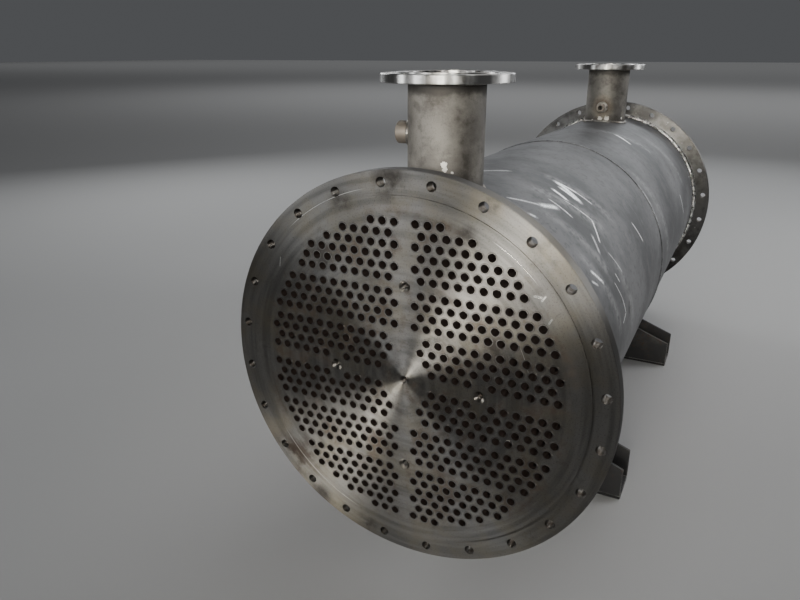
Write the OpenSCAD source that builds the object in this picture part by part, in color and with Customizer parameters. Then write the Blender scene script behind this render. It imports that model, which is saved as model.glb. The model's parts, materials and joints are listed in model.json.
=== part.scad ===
// Shell and tube heat exchanger body: two drilled tubesheets joined by 520 tubes
// inside a rolled shell, with two flanged nozzles on top and two saddles below.
// The axis of the shell runs along Y, and the saddles stand on Z = 0.

/* [Tubesheets] */
// Outside diameter of each tubesheet
sheet_od = 836; // [826:1:900]
// Thickness of each tubesheet
sheet_t = 30; // [24:1:50]
// Distance between the bolting faces at the rims of the two tubesheets
overall_l = 2000; // [1600:10:3000]
// Width of the bolting face between the raised face and the rim
land_w = 47; // [40:1:54]
// Height of the raised face that the channel's gasket sits on
face_rise = 3.5; // [2:0.5:6]
// Distance from the rim to the centres of the bolt holes
bolt_edge_w = 23; // [18:0.5:26]
// Number of bolt holes in each tubesheet
bolt_count = 24; // [16:4:32]
// Diameter of each bolt hole
bolt_hole_d = 20; // [16:0.5:24]
// Chamfer on the edges of the rims of the tubesheets and the flanges
rim_chamfer = 1.5; // [0.5:0.25:3]
// Diameter of the blind tapped holes in the lanes between the tubes
blind_hole_d = 14; // [10:0.5:16]
// Diameter of the countersink at the mouth of a blind tapped hole
blind_sink_d = 24; // [18:0.5:28]
// Depth of the blind tapped holes
blind_hole_depth = 20; // [12:1:24]
// Diameter of the lathe's centre hole
centre_hole_d = 8; // [5:0.5:12]
// Diameter of the countersink at the mouth of the centre hole
centre_sink_d = 18; // [14:0.5:24]
// Distance from the centre to the blind holes in the vertical lane
blind_hole_v = 197.5; // [190:0.5:206]
// Distance from the centre to the blind holes in the horizontal lane
blind_hole_h = 159.5; // [150:0.5:170]

/* [Tubes] */
// Outside diameter of a tube
tube_od = 19; // [16:0.5:20]
// Wall thickness of a tube
tube_wall = 1.5; // [1:0.25:3]
// Gap all round between a tube and its hole in a tubesheet
tube_fit = 0.125; // [0.05:0.025:0.4]
// Height that a tube end stands out of the raised face
tube_end_h = 0.5; // [0:0.5:3]
// Distance between the centres of neighbouring tubes
tube_pitch = 25; // [24:0.25:27]
// Width of the two lanes that cross at the centre, between tube centres
lane_w = 44; // [42:1:50]
// Distance between the last row of one band and the first row of the next
band_gap = 30.3; // [26:0.1:36]
// Number of rows in the band beside the horizontal lane
inner_rows = 4; // [3:1:4]
// Number of rows in the middle band
middle_rows = 4; // [3:1:4]
// Number of rows in the outer band
outer_rows = 6; // [4:1:6]
// Gap between the shell's inside and the outermost tubes
bundle_gap = 5.5; // [3:0.25:15]
// Largest distance of a tube centre from the vertical lane's centre line
field_half_w = 310; // [280:1:320]
// Radius round the centre that stays free of tubes
centre_clear_r = 60; // [50:1:70]
// Radius round the blind holes beside the centre that stays free of tubes
blind_clear_r = 24; // [22:0.5:26]
// Half width of the strip at the vertical lane that the inner band leaves free
inner_clear_x = 30; // [24:1:34]

/* [Shell] */
// Outside diameter of the shell
shell_od = 716; // [708:1:730]
// Wall thickness of the shell
shell_wall = 8; // [6:0.5:12]
// Leg length of the weld between the shell and each tubesheet
shell_weld_leg = 9; // [5:0.5:14]
// Gap between the two courses of the shell, filled by the girth weld
seam_gap = 2; // [1:0.5:4]
// Width of the girth weld's cap on the outside
seam_cap_w = 14; // [8:1:20]
// Height of the girth weld's cap
seam_cap_h = 1.5; // [0.5:0.25:3]

/* [Nozzles] */
// Distance from the outer face of the front tubesheet to the axis of the front nozzle
front_nozzle_end_l = 180; // [170:5:400]
// Distance from the outer face of the rear tubesheet to the axis of the rear nozzle
rear_nozzle_end_l = 230; // [170:5:400]
// Height of the front nozzle's face above the axis of the shell
front_nozzle_face_h = 580.5; // [530:0.5:700]
// Height of the rear nozzle's face above the axis of the shell
rear_nozzle_face_h = 570.5; // [530:0.5:700]
// Outside diameter of the nozzle pipes
nozzle_od = 154; // [140:0.5:180]
// Wall thickness of the nozzle pipes
nozzle_wall = 3; // [2:0.5:8]
// Gap all round between a nozzle pipe and the holes that it stands in
nozzle_fit = 0.25; // [0.1:0.05:0.5]
// Leg length of the welds between the nozzle pipes and the shell
nozzle_weld_leg = 6; // [4:0.5:12]
// Leg length of the welds between the nozzle pipes and the flanges
flange_weld_leg = 4; // [2:0.5:8]
// Outside diameter of the nozzle flanges
flange_od = 262; // [255:1:285]
// Thickness of the nozzle flanges
flange_t = 17; // [16:1:26]
// Diameter of the raised face of the nozzle flanges
flange_face_d = 202; // [192:1:206]
// Height of the raised face
flange_face_h = 2; // [1:0.5:3]
// Diameter of the bolt circle of the nozzle flanges
flange_bolt_circle_d = 225; // [222:1:232]
// Number of bolt holes in a nozzle flange
flange_bolt_count = 8; // [4:4:12]
// Diameter of the bolt holes in a nozzle flange
flange_bolt_hole_d = 18; // [14:0.5:20]
// Depth of the pipe end below the face of the flange
pipe_end_depth = 5; // [3:0.5:8]

/* [Baffles] */
// Thickness of the baffles
baffle_t = 8; // [5:0.5:12]
// Gap between the baffles and the shell's inside
baffle_gap = 2.5; // [1:0.25:5]
// Share of the shell's inner diameter that a baffle's window leaves open
baffle_cut = 0.25; // [0.15:0.01:0.35]
// Diameter of the tie rods
rod_d = 12; // [8:1:14]
// Length of the tie rods beyond the last baffle
rod_end_l = 24; // [18:1:40]
// Outside diameter of the spacer tubes on the tie rods
spacer_od = 19; // [17:0.5:22]
// Wall thickness of the spacer tubes
spacer_wall = 2; // [1:0.25:2.25]
// Gap all round between a rod or a tube and its hole in a baffle
baffle_fit = 0.3; // [0.1:0.05:0.6]
// Height of the nuts on the tie rods
rod_nut_h = 10; // [6:1:14]
// Width of the nuts across their flats
rod_nut_w = 19; // [17:1:24]

/* [Couplings] */
// Outside diameter of the coupling on the front nozzle
front_coupling_od = 46; // [38:1:52]
// Bore of the coupling on the front nozzle
front_coupling_bore = 30; // [20:0.5:34]
// Distance from the crown of the shell to the underside of the front coupling
front_coupling_gap = 81; // [15:1:120]
// Outside diameter of the coupling on the rear nozzle
rear_coupling_od = 31; // [26:1:44]
// Bore of the coupling on the rear nozzle
rear_coupling_bore = 17; // [12:0.5:20]
// Distance from the crown of the shell to the underside of the rear coupling
rear_coupling_gap = 38.5; // [15:0.5:120]
// Length of the front coupling beyond the outside of its nozzle pipe
front_coupling_l = 28; // [15:1:50]
// Length of the rear coupling beyond the outside of its nozzle pipe
rear_coupling_l = 33; // [15:1:50]
// Gap between a coupling and the pipe that it is welded to
coupling_fit = 0.25; // [0.1:0.05:0.5]
// Leg length of the weld round each coupling
coupling_weld_leg = 6; // [3:0.5:8]
// Chamfer on the outer edge of the couplings
coupling_chamfer = 2; // [1:0.5:4]

/* [Saddles] */
// Height of the axis of the shell above the ground
axis_h = 490; // [470:1:700]
// Distance from the outer face of a tubesheet to the middle of the saddle beside it
saddle_end_l = 550; // [450:5:700]
// Length of each saddle across the shell
saddle_l = 762; // [700:2:800]
// Width of each saddle along the shell
saddle_w = 110; // [80:1:160]
// Thickness of the base plates
base_t = 10; // [6:1:16]
// Thickness of the webs
web_t = 8; // [5:0.5:14]
// Height of the webs at their outer ends, above the ground
web_end_h = 90; // [70:1:110]
// Slope of the webs' top edges, in degrees
web_slope = 21; // [15:0.5:25]
// Thickness of the cross ribs between the webs
rib_t = 8; // [5:0.5:14]
// Distance from the middle of a saddle to its cross ribs
rib_x = 215; // [205:1:280]
// Gap between the shell and what carries it
seat_fit = 0.3; // [0.1:0.05:0.6]

/* [Hidden] */

$fn = 96;

// Names for the two ends, the two sides and the two levels
FRONT = -1;
REAR = 1;
LEFT = -1;
RIGHT = 1;
LOWER = -1;
UPPER = 1;

// Half of the overall length, and the faces that the shell meets
half_l = overall_l / 2;
shell_half_l = half_l - sheet_t;
shell_r = shell_od / 2;
shell_inner_r = shell_r - shell_wall;

// Where the weld's bulging face crosses the diagonal between its two legs
shell_weld_throat = shell_weld_leg * 0.55;

// Rows of tubes, counted from the horizontal lane
row_step = tube_pitch * sin(60);
band_rows = [inner_rows, middle_rows, outer_rows];
band_start = [0, inner_rows, inner_rows + middle_rows];
tube_l = overall_l + 2 * (face_rise + tube_end_h);
tube_hole_d = tube_od + 2 * tube_fit;

sheet_r = sheet_od / 2;
face_r = sheet_r - land_w;
bolt_circle_r = sheet_r - bolt_edge_w;
field_r = shell_inner_r - bundle_gap - tube_od / 2;

nozzle_r = nozzle_od / 2;
baffle_r = shell_inner_r - baffle_gap;
last_baffle = 3;
saddle_y = half_l - saddle_end_l;
half_saddle_l = saddle_l / 2;

// A little more than zero, so that cuts run past the faces they open
over = 1;

steel = [0.62, 0.63, 0.64];
machined = [0.72, 0.71, 0.67];
weld_metal = [0.78, 0.77, 0.74];
pipe_metal = [0.60, 0.57, 0.52];
dark_steel = [0.24, 0.24, 0.24];
tube_metal = [0.55, 0.54, 0.52];

function band_of(row) = row < band_start[1] ? 0 : row < band_start[2] ? 1 : 2;

// Height of a row's centre line above the axis
function row_h(row) = lane_w / 2 + row * row_step + band_of(row) * (band_gap - row_step);

// Rows step sideways by half a pitch, and the step starts again with each band
function row_shift(row) = (row - band_of(row) + 1) % 2 == 0 ? 0 : tube_pitch / 2;

// A place is left free at the centre, at the vertical lane and round a blind hole
function place_is_free(x, h, band) =
    norm([x, h]) <= field_r && x <= field_half_w
    && norm([x, h]) >= centre_clear_r
    && !(band == 0 && x < inner_clear_x)
    && norm([x - blind_hole_h, h]) > blind_clear_r;

// Centres of the tubes of one band in the upper right quarter
function quarter_band(band) = [
    for (i = [0 : band_rows[band] - 1])
        let (row = band_start[band] + i, h = row_h(row))
            for (x = [lane_w / 2 + row_shift(row) : tube_pitch : field_half_w])
                if (place_is_free(x, h, band)) [x, h]
];

function nozzle_y(end) =
    end == FRONT ? front_nozzle_end_l - half_l : half_l - rear_nozzle_end_l;

// The baffles share the distance between the two nozzles out evenly
function baffle_y(number) =
    nozzle_y(FRONT)
    + (nozzle_y(REAR) - nozzle_y(FRONT)) * number / (last_baffle + 1);

// Places in the free lanes, one above, one below and one on each side of the centre
function lane_places() = [
    [0, blind_hole_v], [0, -blind_hole_v], [-blind_hole_h, 0], [blind_hole_h, 0]
];

// Turns a shape drawn in X and Y, and raised along Z, so that it stands across the
// axis of the shell: its X stays, its Y points up and its height runs towards the front
module across(y) {
    translate([0, y, axis_h]) rotate([90, 0, 0]) children();
}

module tube_field() {
    for (side = [LEFT, RIGHT], level = [LOWER, UPPER], band = [0 : 2])
        for (p = quarter_band(band))
            translate([side * p[0], level * p[1]]) children();
}

// Places what it is given evenly on a circle, straddling the centre lines
module on_bolt_circle(count, radius) {
    for (i = [0 : count - 1])
        rotate(360 / count * (i + 0.5)) translate([radius, 0]) children();
}

// Round bolt hole through a plate of the height t
module bolt_hole(d, t) {
    translate([0, 0, -over]) cylinder(d = d, h = t + 2 * over, $fn = 48);
}

// Round blind hole with a 90 degree countersink, whose mouth is at height 0
module sunk_hole(d, sink_d, depth) {
    sink_h = (sink_d - d) / 2;
    translate([0, 0, -depth]) cylinder(d = d, h = depth, $fn = 48);
    translate([0, 0, -sink_h])
        cylinder(d1 = d, d2 = sink_d + 2 * over, h = sink_h + over, $fn = 48);
}

// Half section of a plate with a broken rim and a middle that is raised by the height h
// inside the radius step_r
module stepped_section(rim_r, t, step_r, h) {
    polygon([
        [0, 0],
        [rim_r - rim_chamfer, 0],
        [rim_r, rim_chamfer],
        [rim_r, t - rim_chamfer],
        [rim_r - rim_chamfer, t],
        [step_r, t],
        [step_r, t + h],
        [0, t + h]
    ]);
}

// One tubesheet, drawn with its outer face up at height sheet_t
module tubesheet_blank() {
    difference() {
        rotate_extrude($fn = 180)
            stepped_section(sheet_r, sheet_t, face_r, face_rise);
        translate([0, 0, -over]) linear_extrude(sheet_t + face_rise + 2 * over)
            tube_field() circle(d = tube_hole_d, $fn = 32);
        on_bolt_circle(bolt_count, bolt_circle_r) bolt_hole(bolt_hole_d, sheet_t);
        translate([0, 0, sheet_t + face_rise]) {
            for (p = lane_places())
                translate(p) sunk_hole(blind_hole_d, blind_sink_d, blind_hole_depth);
            sunk_hole(centre_hole_d, centre_sink_d, blind_hole_depth);
        }
    }
}

module tubesheet(end) {
    color(machined)
        if (end == FRONT)
            across(-shell_half_l) tubesheet_blank();
        else
            across(shell_half_l) mirror([0, 0, 1]) tubesheet_blank();
}

module shell_course(end) {
    course_l = shell_half_l - seam_gap / 2;
    near_y = end == FRONT ? -seam_gap / 2 : shell_half_l;
    color(steel) difference() {
        across(near_y) difference() {
            cylinder(r = shell_r, h = course_l, $fn = 180);
            translate([0, 0, -over])
                cylinder(r = shell_inner_r, h = course_l + 2 * over, $fn = 180);
        }
        translate([0, nozzle_y(end), axis_h])
            cylinder(r = nozzle_r + nozzle_fit, h = shell_od, $fn = 96);
    }
}

// Fillet weld in the corner between the shell and a tubesheet
module shell_weld(end) {
    color(weld_metal)
        translate([0, end * shell_half_l, axis_h]) rotate([end * 90, 0, 0])
            rotate_extrude($fn = 120)
                polygon([
                    [shell_r, 0],
                    [shell_r + shell_weld_leg, 0],
                    [shell_r + shell_weld_throat, shell_weld_throat],
                    [shell_r, shell_weld_leg]
                ]);
}

module girth_weld() {
    color(weld_metal) across(0) rotate_extrude($fn = 120)
        polygon([
            [shell_inner_r, -seam_gap / 2],
            [shell_r, -seam_gap / 2],
            [shell_r, -seam_cap_w / 2],
            [shell_r + seam_cap_h, -seam_cap_w / 4],
            [shell_r + seam_cap_h, seam_cap_w / 4],
            [shell_r, seam_cap_w / 2],
            [shell_r, seam_gap / 2],
            [shell_inner_r, seam_gap / 2]
        ]);
}

module at_nozzle(end) {
    translate([0, nozzle_y(end), axis_h]) children();
}

module shell_envelope(r) {
    rotate([90, 0, 0]) cylinder(r = r, h = 2 * overall_l, center = true, $fn = 180);
}

function coupling_h(end) =
    shell_r + coupling_od(end) / 2 + (end == FRONT ? front_coupling_gap : rear_coupling_gap);

// Points a coupling's axis away from its nozzle: to the left in front, forwards behind
module along_coupling(end) {
    turn = end == FRONT ? 180 : -90;
    translate([0, 0, coupling_h(end)]) rotate([0, 90, turn]) children();
}

function coupling_reach(end) =
    nozzle_r + (end == FRONT ? front_coupling_l : rear_coupling_l);

function coupling_bore(end) = end == FRONT ? front_coupling_bore : rear_coupling_bore;

function coupling_od(end) = end == FRONT ? front_coupling_od : rear_coupling_od;

function nozzle_face_h(end) = end == FRONT ? front_nozzle_face_h : rear_nozzle_face_h;

module nozzle_pipe(end) {
    color(pipe_metal) at_nozzle(end) difference() {
        cylinder(r = nozzle_r, h = nozzle_face_h(end) - pipe_end_depth, $fn = 96);
        translate([0, 0, -over])
            cylinder(r = nozzle_r - nozzle_wall, h = nozzle_face_h(end) + 2 * over,
                $fn = 96);
        shell_envelope(shell_inner_r);
        along_coupling(end) cylinder(d = coupling_bore(end), h = nozzle_od, $fn = 48);
    }
}

module nozzle_flange(end) {
    plate_top = nozzle_face_h(end) - flange_face_h;
    color(machined) at_nozzle(end) translate([0, 0, plate_top - flange_t]) difference() {
        rotate_extrude($fn = 120)
            stepped_section(flange_od / 2, flange_t, flange_face_d / 2, flange_face_h);
        translate([0, 0, -over])
            cylinder(r = nozzle_r + nozzle_fit, h = flange_t + flange_face_h + 2 * over,
                $fn = 96);
        on_bolt_circle(flange_bolt_count, flange_bolt_circle_d / 2)
            bolt_hole(flange_bolt_hole_d, flange_t);
    }
}

// Weld round the foot of a nozzle, which follows the curve of the shell
module nozzle_weld(end) {
    foot_h = sqrt(pow(shell_r, 2) - pow(nozzle_r + nozzle_weld_leg, 2));
    top_h = shell_r + nozzle_weld_leg;
    color(weld_metal) at_nozzle(end) difference() {
        translate([0, 0, foot_h - over])
            cylinder(r1 = nozzle_r + nozzle_weld_leg + over, r2 = nozzle_r + over,
                h = top_h - foot_h + over, $fn = 96);
        shell_envelope(shell_r);
        cylinder(r = nozzle_r, h = nozzle_face_h(end), $fn = 96);
    }
}

module flange_weld(end) {
    flange_back = nozzle_face_h(end) - flange_face_h - flange_t;
    color(weld_metal) at_nozzle(end) difference() {
        translate([0, 0, flange_back - flange_weld_leg])
            cylinder(r1 = nozzle_r + over, r2 = nozzle_r + flange_weld_leg,
                h = flange_weld_leg, $fn = 96);
        cylinder(r = nozzle_r, h = nozzle_face_h(end), $fn = 96);
    }
}

module coupling(end) {
    color(pipe_metal) at_nozzle(end) difference() {
        along_coupling(end) {
            cylinder(d = coupling_od(end), h = coupling_reach(end) - coupling_chamfer,
                $fn = 48);
            translate([0, 0, coupling_reach(end) - coupling_chamfer])
                cylinder(d1 = coupling_od(end), d2 = coupling_od(end) - 2 * coupling_chamfer,
                    h = coupling_chamfer, $fn = 48);
        }
        cylinder(r = nozzle_r + coupling_fit, h = nozzle_face_h(end), $fn = 96);
        along_coupling(end)
            cylinder(d = coupling_bore(end), h = coupling_reach(end) + over, $fn = 48);
    }
}

module coupling_weld(end) {
    outer_r = coupling_od(end) / 2;
    foot = sqrt(pow(nozzle_r, 2) - pow(outer_r + coupling_weld_leg, 2)) - over;
    color(weld_metal) at_nozzle(end) difference() {
        along_coupling(end) translate([0, 0, foot])
            cylinder(r1 = outer_r + coupling_weld_leg + over, r2 = outer_r + over / 2,
                h = nozzle_r + coupling_weld_leg - foot, $fn = 48);
        cylinder(r = nozzle_r, h = nozzle_face_h(end), $fn = 96);
        along_coupling(end)
            cylinder(d = coupling_od(end), h = nozzle_od, $fn = 48);
    }
}

module tube_bank(side, level, band) {
    color(tube_metal) across(tube_l / 2) linear_extrude(tube_l)
        for (p = quarter_band(band))
            translate([side * p[0], level * p[1]]) difference() {
                circle(d = tube_od, $fn = 32);
                circle(d = tube_od - 2 * tube_wall, $fn = 32);
            }
}

// What a baffle fills: all but a window at the bottom or at the top
module beside_window(window) {
    height = baffle_r + shell_inner_r * (1 - 2 * baffle_cut);
    translate([-baffle_r, window == LOWER ? baffle_r - height : -baffle_r])
        square([2 * baffle_r, height]);
}

module baffle(number, window) {
    color(dark_steel) across(baffle_y(number) + baffle_t / 2) linear_extrude(baffle_t)
        difference() {
            intersection() {
                circle(r = baffle_r, $fn = 180);
                beside_window(window);
            }
            tube_field() circle(d = tube_od + 2 * baffle_fit, $fn = 32);
            for (p = lane_places())
                translate(p) circle(d = rod_d + 2 * baffle_fit, $fn = 32);
        }
}

// The rods start at the inner face of the front tubesheet and pass the last baffle
module tie_rods() {
    end_y = baffle_y(last_baffle) + baffle_t / 2 + rod_end_l;
    color(dark_steel) across(end_y) linear_extrude(end_y + shell_half_l)
        for (p = lane_places())
            translate(p) circle(d = rod_d, $fn = 32);
}

// The spacer tubes hold the baffles apart: one length from the front tubesheet, then
// one between each pair of baffles
module spacer_tubes() {
    color(tube_metal)
        for (number = [1 : last_baffle]) {
            far_y = baffle_y(number) - baffle_t / 2;
            near_y = number == 1 ? -shell_half_l : baffle_y(number - 1) + baffle_t / 2;
            across(far_y) linear_extrude(far_y - near_y)
                for (p = lane_places())
                    translate(p) difference() {
                        circle(d = spacer_od, $fn = 32);
                        circle(d = spacer_od - 2 * spacer_wall, $fn = 32);
                    }
        }
}

module tie_rod_nuts() {
    nut_y = baffle_y(last_baffle) + baffle_t / 2 + rod_nut_h;
    corner_r = rod_nut_w / 2 / cos(30);
    color(dark_steel) across(nut_y) linear_extrude(rod_nut_h)
        for (p = lane_places())
            translate(p) difference() {
                polygon([for (i = [0 : 5]) corner_r * [cos(60 * i), sin(60 * i)]]);
                circle(d = rod_d, $fn = 32);
            }
}

module saddle_base(end) {
    color(dark_steel) translate([-half_saddle_l, end * saddle_y - saddle_w / 2, 0])
        cube([saddle_l, saddle_w, base_t]);
}

// Outline of a web: upright ends, then edges that rise to the shell
module web_outline() {
    rise = tan(web_slope) * half_saddle_l;
    difference() {
        polygon([
            [-half_saddle_l, base_t - axis_h],
            [half_saddle_l, base_t - axis_h],
            [half_saddle_l, web_end_h - axis_h],
            [0, web_end_h + rise - axis_h],
            [-half_saddle_l, web_end_h - axis_h]
        ]);
        circle(r = shell_r + seat_fit, $fn = 180);
    }
}

module saddle_webs(end) {
    color(dark_steel)
        for (side = [-1, 1])
            across(end * saddle_y + side * (saddle_w - web_t) / 2 + web_t / 2)
                linear_extrude(web_t) web_outline();
}

// Plates that tie the two webs together under the shell
module saddle_ribs(end) {
    rib_h = web_end_h + tan(web_slope) * (half_saddle_l - rib_x) - base_t;
    rib_w = saddle_w - 2 * web_t;
    color(dark_steel)
        for (side = [LEFT, RIGHT])
            translate([side * rib_x - rib_t / 2, end * saddle_y - rib_w / 2, base_t])
                cube([rib_t, rib_w, rib_h]);
}

tubesheet(FRONT);  // front_tubesheet
tubesheet(REAR);  // rear_tubesheet
shell_course(FRONT);  // front_shell_course
shell_course(REAR);  // rear_shell_course
shell_weld(FRONT);  // front_shell_weld
shell_weld(REAR);  // rear_shell_weld
girth_weld();
nozzle_pipe(FRONT);  // front_nozzle_pipe
nozzle_pipe(REAR);  // rear_nozzle_pipe
nozzle_flange(FRONT);  // front_nozzle_flange
nozzle_flange(REAR);  // rear_nozzle_flange
nozzle_weld(FRONT);  // front_nozzle_weld
nozzle_weld(REAR);  // rear_nozzle_weld
flange_weld(FRONT);  // front_flange_weld
flange_weld(REAR);  // rear_flange_weld
coupling(FRONT);  // front_coupling
coupling(REAR);  // rear_coupling
coupling_weld(FRONT);  // front_coupling_weld
coupling_weld(REAR);  // rear_coupling_weld
tube_bank(LEFT, UPPER, 2);  // tubes_upper_outer_left
tube_bank(RIGHT, UPPER, 2);  // tubes_upper_outer_right
tube_bank(LEFT, UPPER, 1);  // tubes_upper_middle_left
tube_bank(RIGHT, UPPER, 1);  // tubes_upper_middle_right
tube_bank(LEFT, UPPER, 0);  // tubes_upper_inner_left
tube_bank(RIGHT, UPPER, 0);  // tubes_upper_inner_right
tube_bank(LEFT, LOWER, 0);  // tubes_lower_inner_left
tube_bank(RIGHT, LOWER, 0);  // tubes_lower_inner_right
tube_bank(LEFT, LOWER, 1);  // tubes_lower_middle_left
tube_bank(RIGHT, LOWER, 1);  // tubes_lower_middle_right
tube_bank(LEFT, LOWER, 2);  // tubes_lower_outer_left
tube_bank(RIGHT, LOWER, 2);  // tubes_lower_outer_right
baffle(1, LOWER);  // front_baffle
baffle(2, UPPER);  // middle_baffle
baffle(3, LOWER);  // rear_baffle
tie_rods();
spacer_tubes();
tie_rod_nuts();
saddle_base(FRONT);  // front_saddle_base
saddle_webs(FRONT);  // front_saddle_webs
saddle_ribs(FRONT);  // front_saddle_ribs
saddle_base(REAR);  // rear_saddle_base
saddle_webs(REAR);  // rear_saddle_webs
saddle_ribs(REAR);  // rear_saddle_ribs
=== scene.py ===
import json
import math
import random

import bpy
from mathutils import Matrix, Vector


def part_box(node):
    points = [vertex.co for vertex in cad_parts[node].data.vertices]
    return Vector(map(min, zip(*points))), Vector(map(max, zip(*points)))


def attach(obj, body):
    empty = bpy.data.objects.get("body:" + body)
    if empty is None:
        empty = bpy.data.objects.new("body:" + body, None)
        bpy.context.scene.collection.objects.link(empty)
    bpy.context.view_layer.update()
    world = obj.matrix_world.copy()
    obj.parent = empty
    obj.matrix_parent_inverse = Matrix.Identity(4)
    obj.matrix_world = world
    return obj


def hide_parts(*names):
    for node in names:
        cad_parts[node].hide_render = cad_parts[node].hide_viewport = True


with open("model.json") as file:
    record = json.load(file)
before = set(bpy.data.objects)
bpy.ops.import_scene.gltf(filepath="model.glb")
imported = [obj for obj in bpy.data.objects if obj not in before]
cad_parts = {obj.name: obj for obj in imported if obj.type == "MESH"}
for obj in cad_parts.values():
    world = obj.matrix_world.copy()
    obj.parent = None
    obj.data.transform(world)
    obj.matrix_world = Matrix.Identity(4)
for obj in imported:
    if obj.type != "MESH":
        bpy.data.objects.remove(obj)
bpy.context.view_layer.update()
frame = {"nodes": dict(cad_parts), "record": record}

nodes = frame["nodes"]
print("frame loaded:", len(nodes), "nodes")


viewSettings = {
    "place": (0.5472, -2.0801, 1.1065),
    "turn": (69.72, 0.09, 27.31),  # degrees
    "lens": 30.25,
    "sensor": 36.0,
    "nearest": 0.02,
}
floorSettings = {"width": 160.0, "colour": (0.40, 0.395, 0.39), "roughness": 0.85}
lightSettings = {
    "sky": (0.54, 0.56, 0.59),
    "skyStrength": 0.15,
    "boxes": {  # place, aim, width, height, watts, spread in degrees, colour
        "frontWindow": ((0.40, -4.2, 1.55), (0.05, -1.0, 0.92), 1.3, 0.9, 9.0, 40, (1.0, 0.97, 0.89)),
        "frontBand": ((-1.75, -4.2, 1.35), (0.0, -1.0, 0.88), 1.2, 0.5, 1.9, 36, (0.98, 0.99, 1.0)),
        "frontRight": ((2.3, -3.9, 1.45), (0.1, -1.0, 0.75), 0.9, 0.6, 2.2, 40, (1.0, 0.98, 0.93)),
        "rightWindow": ((3.4, 2.4, 2.3), (0.0, 0.0, 0.6), 1.6, 1.6, 80, 180, (0.96, 0.98, 1.0)),
        "leftStrip": ((-3.2, -2.9, 1.5), (0.0, -0.8, 0.9), 0.5, 1.6, 8, 90, (0.95, 0.98, 1.0)),
        "leftWindow": ((-4.2, 2.6, 2.8), (0.0, 0.0, 0.6), 2.4, 1.8, 75, 180, (0.95, 0.98, 1.0)),
        "backWindow": ((0.4, 5.6, 2.6), (0.0, 0.6, 0.8), 3.6, 1.0, 50, 180, (0.92, 0.96, 1.0)),
        "roofLight": ((0.5, 0.4, 4.2), (0.0, 0.2, 0.6), 2.4, 3.4, 46, 180, (0.98, 0.99, 1.0)),
        "farRoof": ((-1.0, 15.0, 8.0), (-1.0, 15.0, 0.0), 26.0, 12.0, 600, 150, (0.96, 0.98, 1.0)),
        "farFloor": ((-1.0, 71.0, 16.0), (-1.0, 71.0, 0.0), 160.0, 90.0, 11000, 180, (0.96, 0.98, 1.0)),
    },
}


def placeCamera():
    bpy.ops.object.camera_add(location=viewSettings["place"])
    camera = bpy.context.object
    camera.name = "photoCamera"
    camera.rotation_euler = [math.radians(angle) for angle in viewSettings["turn"]]
    camera.data.sensor_width = viewSettings["sensor"]
    camera.data.lens = viewSettings["lens"]
    camera.data.clip_start = viewSettings["nearest"]
    camera.data.dof.use_dof = False
    bpy.context.scene.camera = camera


def layFloor():
    bpy.ops.mesh.primitive_plane_add(size=floorSettings["width"], location=(0, 0, 0))
    floor = bpy.context.object
    floor.name = "studioFloor"
    paint = bpy.data.materials.new("paleFloor")
    paint.use_nodes = True
    shader = paint.node_tree.nodes["Principled BSDF"]
    shader.inputs["Base Color"].default_value = (*floorSettings["colour"], 1)
    shader.inputs["Roughness"].default_value = floorSettings["roughness"]
    floor.data.materials.append(paint)


def hangLights():
    world = bpy.data.worlds.new("studioSky")
    bpy.context.scene.world = world
    world.use_nodes = True
    sky = world.node_tree.nodes["Background"]
    sky.inputs["Color"].default_value = (*lightSettings["sky"], 1)
    sky.inputs["Strength"].default_value = lightSettings["skyStrength"]
    for name, (place, aim, width, height, watts, spread, colour) in lightSettings["boxes"].items():
        bpy.ops.object.light_add(type="AREA", location=place)
        lamp = bpy.context.object
        lamp.name = name
        lamp.rotation_euler = (Vector(aim) - Vector(place)).to_track_quat("-Z", "Y").to_euler()
        lamp.data.shape = "RECTANGLE"
        lamp.data.size = width
        lamp.data.size_y = height
        lamp.data.energy = watts
        lamp.data.spread = math.radians(spread)
        lamp.data.color = colour


placeCamera()
layFloor()
hangLights()
print("camera, floor and light set")


sheetLow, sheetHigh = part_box("front_tubesheet")
rearSheetLow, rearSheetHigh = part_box("rear_tubesheet")
shellLow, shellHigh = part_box("front_shell_course")
pipeLow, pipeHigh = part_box("front_nozzle_pipe")
axisHeight = (sheetLow.z + sheetHigh.z) / 2
faceRise = 0.0035  # of the raised face in front of the rim
rimFace = sheetLow.y + faceRise
shellRadius = (shellHigh.x - shellLow.x) / 2
pipeRadius = (pipeHigh.x - pipeLow.x) / 2
crownHeight = axisHeight + shellRadius  # of the shell above the floor
alongShell = (0.0, 1.0, 0.0)
upward = (0.0, 0.0, 1.0)


def newFinish(name, roughness=0.5, metallic=1.0, anisotropic=0.0):
    finish = bpy.data.materials.new(name)
    finish.use_nodes = True
    tree = finish.node_tree
    shader = tree.nodes["Principled BSDF"]
    shader.inputs["Roughness"].default_value = roughness
    shader.inputs["Metallic"].default_value = metallic
    shader.inputs["Anisotropic"].default_value = anisotropic
    place = tree.nodes.new("ShaderNodeTexCoord").outputs["Object"]
    return finish, tree, shader, place


def plug(tree, socket, value):
    if hasattr(value, "is_output"):
        tree.links.new(value, socket)
    elif hasattr(value, "__len__") and len(value) == 3 and len(socket.default_value) == 4:
        socket.default_value = (*value, 1)
    else:
        socket.default_value = value


def calc(tree, operation, first, second=None, clamp=False):
    node = tree.nodes.new("ShaderNodeMath")
    node.operation = operation
    node.use_clamp = clamp
    plug(tree, node.inputs[0], first)
    if second is not None:
        plug(tree, node.inputs[1], second)
    return node.outputs[0]


def calcVector(tree, operation, first, second=None):
    node = tree.nodes.new("ShaderNodeVectorMath")
    node.operation = operation
    plug(tree, node.inputs[0], first)
    if second is not None:
        plug(tree, node.inputs[1], second)
    return node.outputs["Value" if operation in ("LENGTH", "DOT_PRODUCT", "DISTANCE") else "Vector"]


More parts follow.
